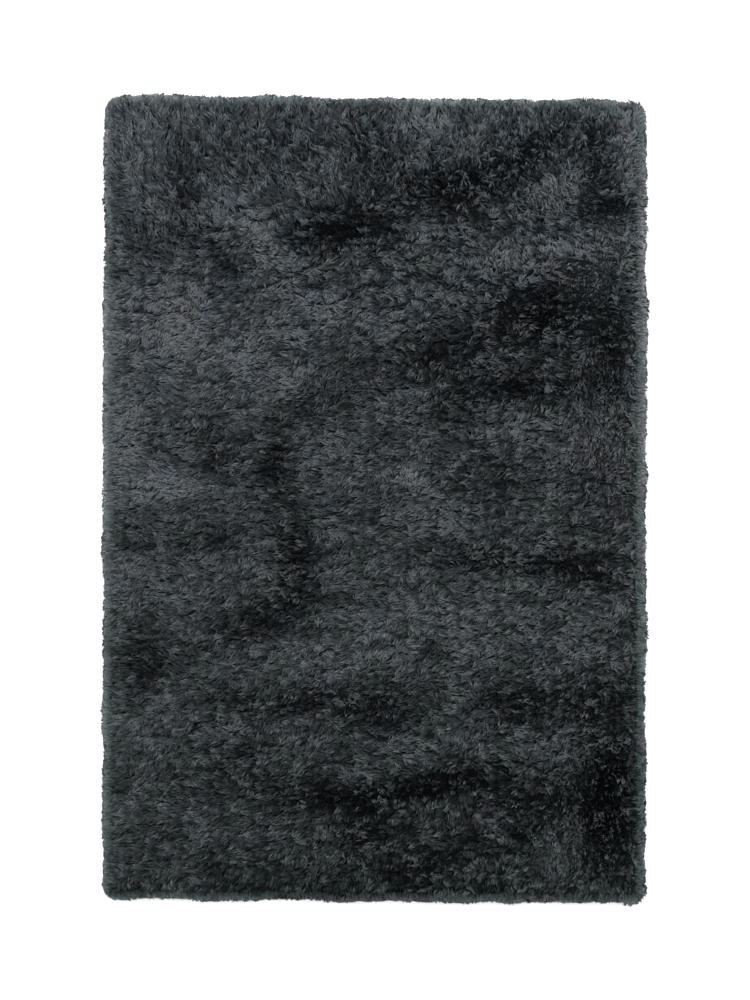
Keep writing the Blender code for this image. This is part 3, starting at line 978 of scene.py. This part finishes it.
def bed_material(group):
    """The depth of the pile: the same yarn, near its roots, seen end on as fine dots, dark with painted
    shade.
    """
    material, tree, shader = new_material("pile_depth", 0.95)
    shader.inputs["Specular IOR Level"].default_value = 0.02
    place = tree.nodes.new("ShaderNodeTexCoord")
    dots = tree.nodes.new("ShaderNodeTexVoronoi")
    dots.inputs["Scale"].default_value = 260.0
    tree.links.new(place.outputs["Object"], dots.inputs["Vector"])
    dye_and_shade = tree.nodes.new("ShaderNodeGroup")
    dye_and_shade.node_tree = group
    dye_and_shade.inputs["Along"].default_value = 0.10
    tree.links.new(attribute(tree, "tone"), dye_and_shade.inputs["Tone"])
    depth = math_node(tree, "SUBTRACT", 1.0, dots.outputs["Distance"], clamp=True)
    tree.links.new(depth, dye_and_shade.inputs["Fibre"])
    tree.links.new(dye_and_shade.outputs["Color"], shader.inputs["Base Color"])
    bump = tree.nodes.new("ShaderNodeBump")
    bump.inputs["Distance"].default_value = 0.002
    tree.links.new(depth, bump.inputs["Height"])
    tree.links.new(bump.outputs[0], shader.inputs["Normal"])
    return material


def backing_material(colours):
    """Coarse plain weave: bands across and along, each the other's gaps, and a little soil."""
    material, tree, shader = new_material("backing_weave", 0.9)
    place = tree.nodes.new("ShaderNodeTexCoord")
    bands = []
    for direction in ("X", "Y"):
        band = tree.nodes.new("ShaderNodeTexWave")
        band.bands_direction = direction
        band.inputs["Scale"].default_value = 110.0
        band.inputs["Distortion"].default_value = 0.6
        band.inputs["Detail Scale"].default_value = 2.0
        tree.links.new(place.outputs["Object"], band.inputs["Vector"])
        bands.append(band.outputs["Fac"])
    weave = math_node(tree, "MAXIMUM", *bands)
    soil = tree.nodes.new("ShaderNodeTexNoise")
    soil.inputs["Scale"].default_value = 9.0
    soil.inputs["Detail"].default_value = 6.0
    tree.links.new(place.outputs["Object"], soil.inputs["Vector"])
    dark = tuple(0.45 * c for c in colours.backing)
    cloth = mix_colours(tree, weave, dark, tuple(colours.backing))
    share = math_node(tree, "MULTIPLY", soil.outputs["Fac"], 0.5)
    tree.links.new(mix_colours(tree, share, cloth, dark), shader.inputs["Base Color"])
    bump = tree.nodes.new("ShaderNodeBump")
    bump.inputs["Distance"].default_value = 0.001
    tree.links.new(weave, bump.inputs["Height"])
    tree.links.new(bump.outputs[0], shader.inputs["Normal"])
    return material


def floor_material(colours):
    """Matt pale paint, very slightly uneven."""
    material, tree, shader = new_material("studio_floor", 0.9)
    place = tree.nodes.new("ShaderNodeTexCoord")
    cloud = tree.nodes.new("ShaderNodeTexNoise")
    cloud.inputs["Scale"].default_value = 1.5
    tree.links.new(place.outputs["Object"], cloud.inputs["Vector"])
    dim = tuple(0.985 * c for c in colours.floor)
    paint = mix_colours(tree, cloud.outputs["Fac"], dim, tuple(colours.floor))
    tree.links.new(paint, shader.inputs["Base Color"])
    return material


# ---- operators


class RUG_OT_backing(Operator):
    """Cuts the woven backing that the yarn is tufted through"""

    bl_idname = "rug.backing"
    bl_label = "Backing"

    def execute(self, context):
        sizes = context.scene.rug_sizes
        x, y = np.meshgrid(
            np.linspace(-WIDTH / 2, WIDTH / 2, BACKING_LATTICE[0]),
            np.linspace(-LENGTH / 2, LENGTH / 2, BACKING_LATTICE[1]),
            indexing="ij",
        )
        x, y = pulled(x, y)
        low = np.zeros_like(x)
        material = backing_material(context.scene.rug_colours)
        slab("backing", x, y, low, low + sizes.backing_thickness, material)
        return {"FINISHED"}


class RUG_OT_bed(Operator):
    """Fills the pile's depth, where the locks stand too close to be told apart, out to its rim"""

    bl_idname = "rug.bed"
    bl_label = "Pile bed"

    def execute(self, context):
        sizes = context.scene.rug_sizes
        skirt = sizes.overhang * BED_REACH
        x, y = np.meshgrid(
            np.linspace(-WIDTH / 2 - skirt, WIDTH / 2 + skirt, BED_LATTICE[0]),
            np.linspace(-LENGTH / 2 - skirt, LENGTH / 2 + skirt, BED_LATTICE[1]),
            indexing="ij",
        )
        # Past the backing's edge, a square step outwards becomes one as long in the same direction
        over_x, over_y = np.maximum(np.abs(x) - WIDTH / 2, 0), np.maximum(np.abs(y) - LENGTH / 2, 0)
        beyond = np.maximum(over_x, over_y)
        shrink = beyond / np.maximum(np.hypot(over_x, over_y), TINY)
        flat_x = np.clip(x, -WIDTH / 2, WIDTH / 2)
        flat_y = np.clip(y, -LENGTH / 2, LENGTH / 2)
        real_x, real_y = pulled(flat_x, flat_y)
        real_x = real_x + np.sign(x) * over_x * shrink
        real_y = real_y + np.sign(y) * over_y * shrink
        full = pile_height(real_x.ravel(), real_y.ravel()).reshape(x.shape) - sizes.bed_depth
        low = np.full_like(full, sizes.backing_thickness)
        least = low + BED_THINNEST
        high = least + (full - least) * np.sqrt(np.clip(1 - (beyond / skirt) ** 2, 0, 1))
        bed = slab("pile_bed", real_x, real_y, low, high, bed_material(bpy.data.node_groups["yarn_dye_and_shade"]))
        # Painted shade: the bed's tone is darker than the yarn's, and darker still where the shade is dark
        tone = BED_PAINTED_SHADE * np.exp(PAINTED_SHADE_STRENGTH * shade_at(real_x.ravel(), real_y.ravel()))
        point_values(bed, "tone", np.tile(tone, 2))
        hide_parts(NODE)
        return {"FINISHED"}


class RUG_OT_pile(Operator):
    """Grows the yarn locks of the field, in lengthwise strips"""

    bl_idname = "rug.pile"
    bl_label = "Pile"

    def execute(self, context):
        sizes = context.scene.rug_sizes
        rng = np.random.default_rng(sizes.seed)
        material = yarn_material(bpy.data.node_groups["yarn_dye_and_shade"])
        x, y = shaken_lattice(WIDTH / 2 + FIELD_SPREAD, LENGTH / 2 + FIELD_SPREAD, sizes.lock_spacing, rng)
        near = past_backing(x, y) < FIELD_SPREAD
        x, y = x[near], y[near]
        locks = grow_field(x, y, rng)
        strip = np.clip(((x / WIDTH + 0.5) * sizes.strips).astype(int), 0, sizes.strips - 1)
        for number in range(sizes.strips):
            name = f"pile_strip_{number + 1:02d}"
            thing = lock_piece(name, chosen(locks, strip == number), FIELD_LOCK, material, rng)
            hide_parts(NODE)
        return {"FINISHED"}


class RUG_OT_rim(Operator):
    """Grows the rim's locks, a piece for each side, that arch out and hang down to the floor"""

    bl_idname = "rug.rim"
    bl_label = "Rim"

    def execute(self, context):
        sizes = context.scene.rug_sizes
        rng = np.random.default_rng(sizes.seed + 1)
        material = bpy.data.materials["charcoal_yarn"]
        locks = grow_rim(rng)
        for side, name in enumerate(("right", "head", "left", "foot")):
            row = chosen(locks, locks["side"] == side)
            thing = lock_piece(f"pile_rim_{name}", row, RIM_LOCK, material, rng)
            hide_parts(NODE)
        return {"FINISHED"}


class RUG_OT_stage(Operator):
    """Sets the pale floor, the soft studio light and the camera straight above"""

    bl_idname = "rug.stage"
    bl_label = "Stage"

    def execute(self, context):
        scene = context.scene
        mesh = bpy.data.meshes.new("floor")
        corners = [(FLOOR_SIDE * x, FLOOR_SIDE * y, 0) for x, y in ((-1, -1), (1, -1), (1, 1), (-1, 1))]
        mesh.from_pydata(corners, [], [(0, 1, 2, 3)])
        mesh.materials.append(floor_material(scene.rug_colours))
        floor = bpy.data.objects.new("floor", mesh)
        scene.collection.objects.link(floor)
        lamp = bpy.data.lights.new("soft_sun", "SUN")
        lamp.energy, lamp.angle = LAMP_STRENGTH, np.radians(LAMP_SPREAD)
        sun = bpy.data.objects.new("soft_sun", lamp)
        sun.rotation_euler = (np.radians(LAMP_TILT), 0.0, 0.0)
        scene.collection.objects.link(sun)
        world = bpy.data.worlds.new("studio")
        world.use_nodes = True
        sky = world.node_tree.nodes["Background"]
        sky.inputs["Color"].default_value = (1.0, 1.0, 1.0, 1.0)
        sky.inputs["Strength"].default_value = SKY_STRENGTH
        scene.world = world
        lens = bpy.data.cameras.new("camera")
        lens.lens, lens.sensor_width = CAMERA_LENS, SENSOR
        lens.clip_start, lens.clip_end = 0.1, 100.0
        camera = bpy.data.objects.new("camera", lens)
        camera.location = (*CAMERA_PLACE, PHOTO_SIDE * PIXEL * CAMERA_LENS / SENSOR + PIXEL_HEIGHT)
        scene.collection.objects.link(camera)
        scene.camera = camera
        scene.view_settings.view_transform = "Standard"
        return {"FINISHED"}


class RUG_PT_panel(Panel):
    """Lists the rug's sizes, colours and operators in the sidebar"""

    bl_label = "Shag rug"
    bl_idname = "RUG_PT_panel"
    bl_space_type = "VIEW_3D"
    bl_region_type = "UI"
    bl_category = "Rug"

    def draw(self, context):
        for group in (context.scene.rug_sizes, context.scene.rug_colours):
            for name in group.__annotations__:
                self.layout.prop(group, name)
        for operator in OPERATORS:
            self.layout.operator(operator.bl_idname)


OPERATORS = (RUG_OT_stage, RUG_OT_backing, RUG_OT_bed, RUG_OT_pile, RUG_OT_rim)
CLASSES = (RugSizes, YarnColours, *OPERATORS, RUG_PT_panel)


def register():
    """Adds the classes, and the sizes and colours to the scene."""
    for kind in CLASSES:
        bpy.utils.register_class(kind)
    bpy.types.Scene.rug_sizes = PointerProperty(type=RugSizes)
    bpy.types.Scene.rug_colours = PointerProperty(type=YarnColours)


def unregister():
    """Takes away what register adds."""
    del bpy.types.Scene.rug_colours
    del bpy.types.Scene.rug_sizes
    for kind in reversed(CLASSES):
        bpy.utils.unregister_class(kind)


def main():
    register()
    yarn_group(bpy.context.scene.rug_colours)
    bpy.ops.rug.stage()
    bpy.ops.rug.backing()
    bpy.ops.rug.bed()
    bpy.ops.rug.pile()
    bpy.ops.rug.rim()


if __name__ == "__main__":
    main()
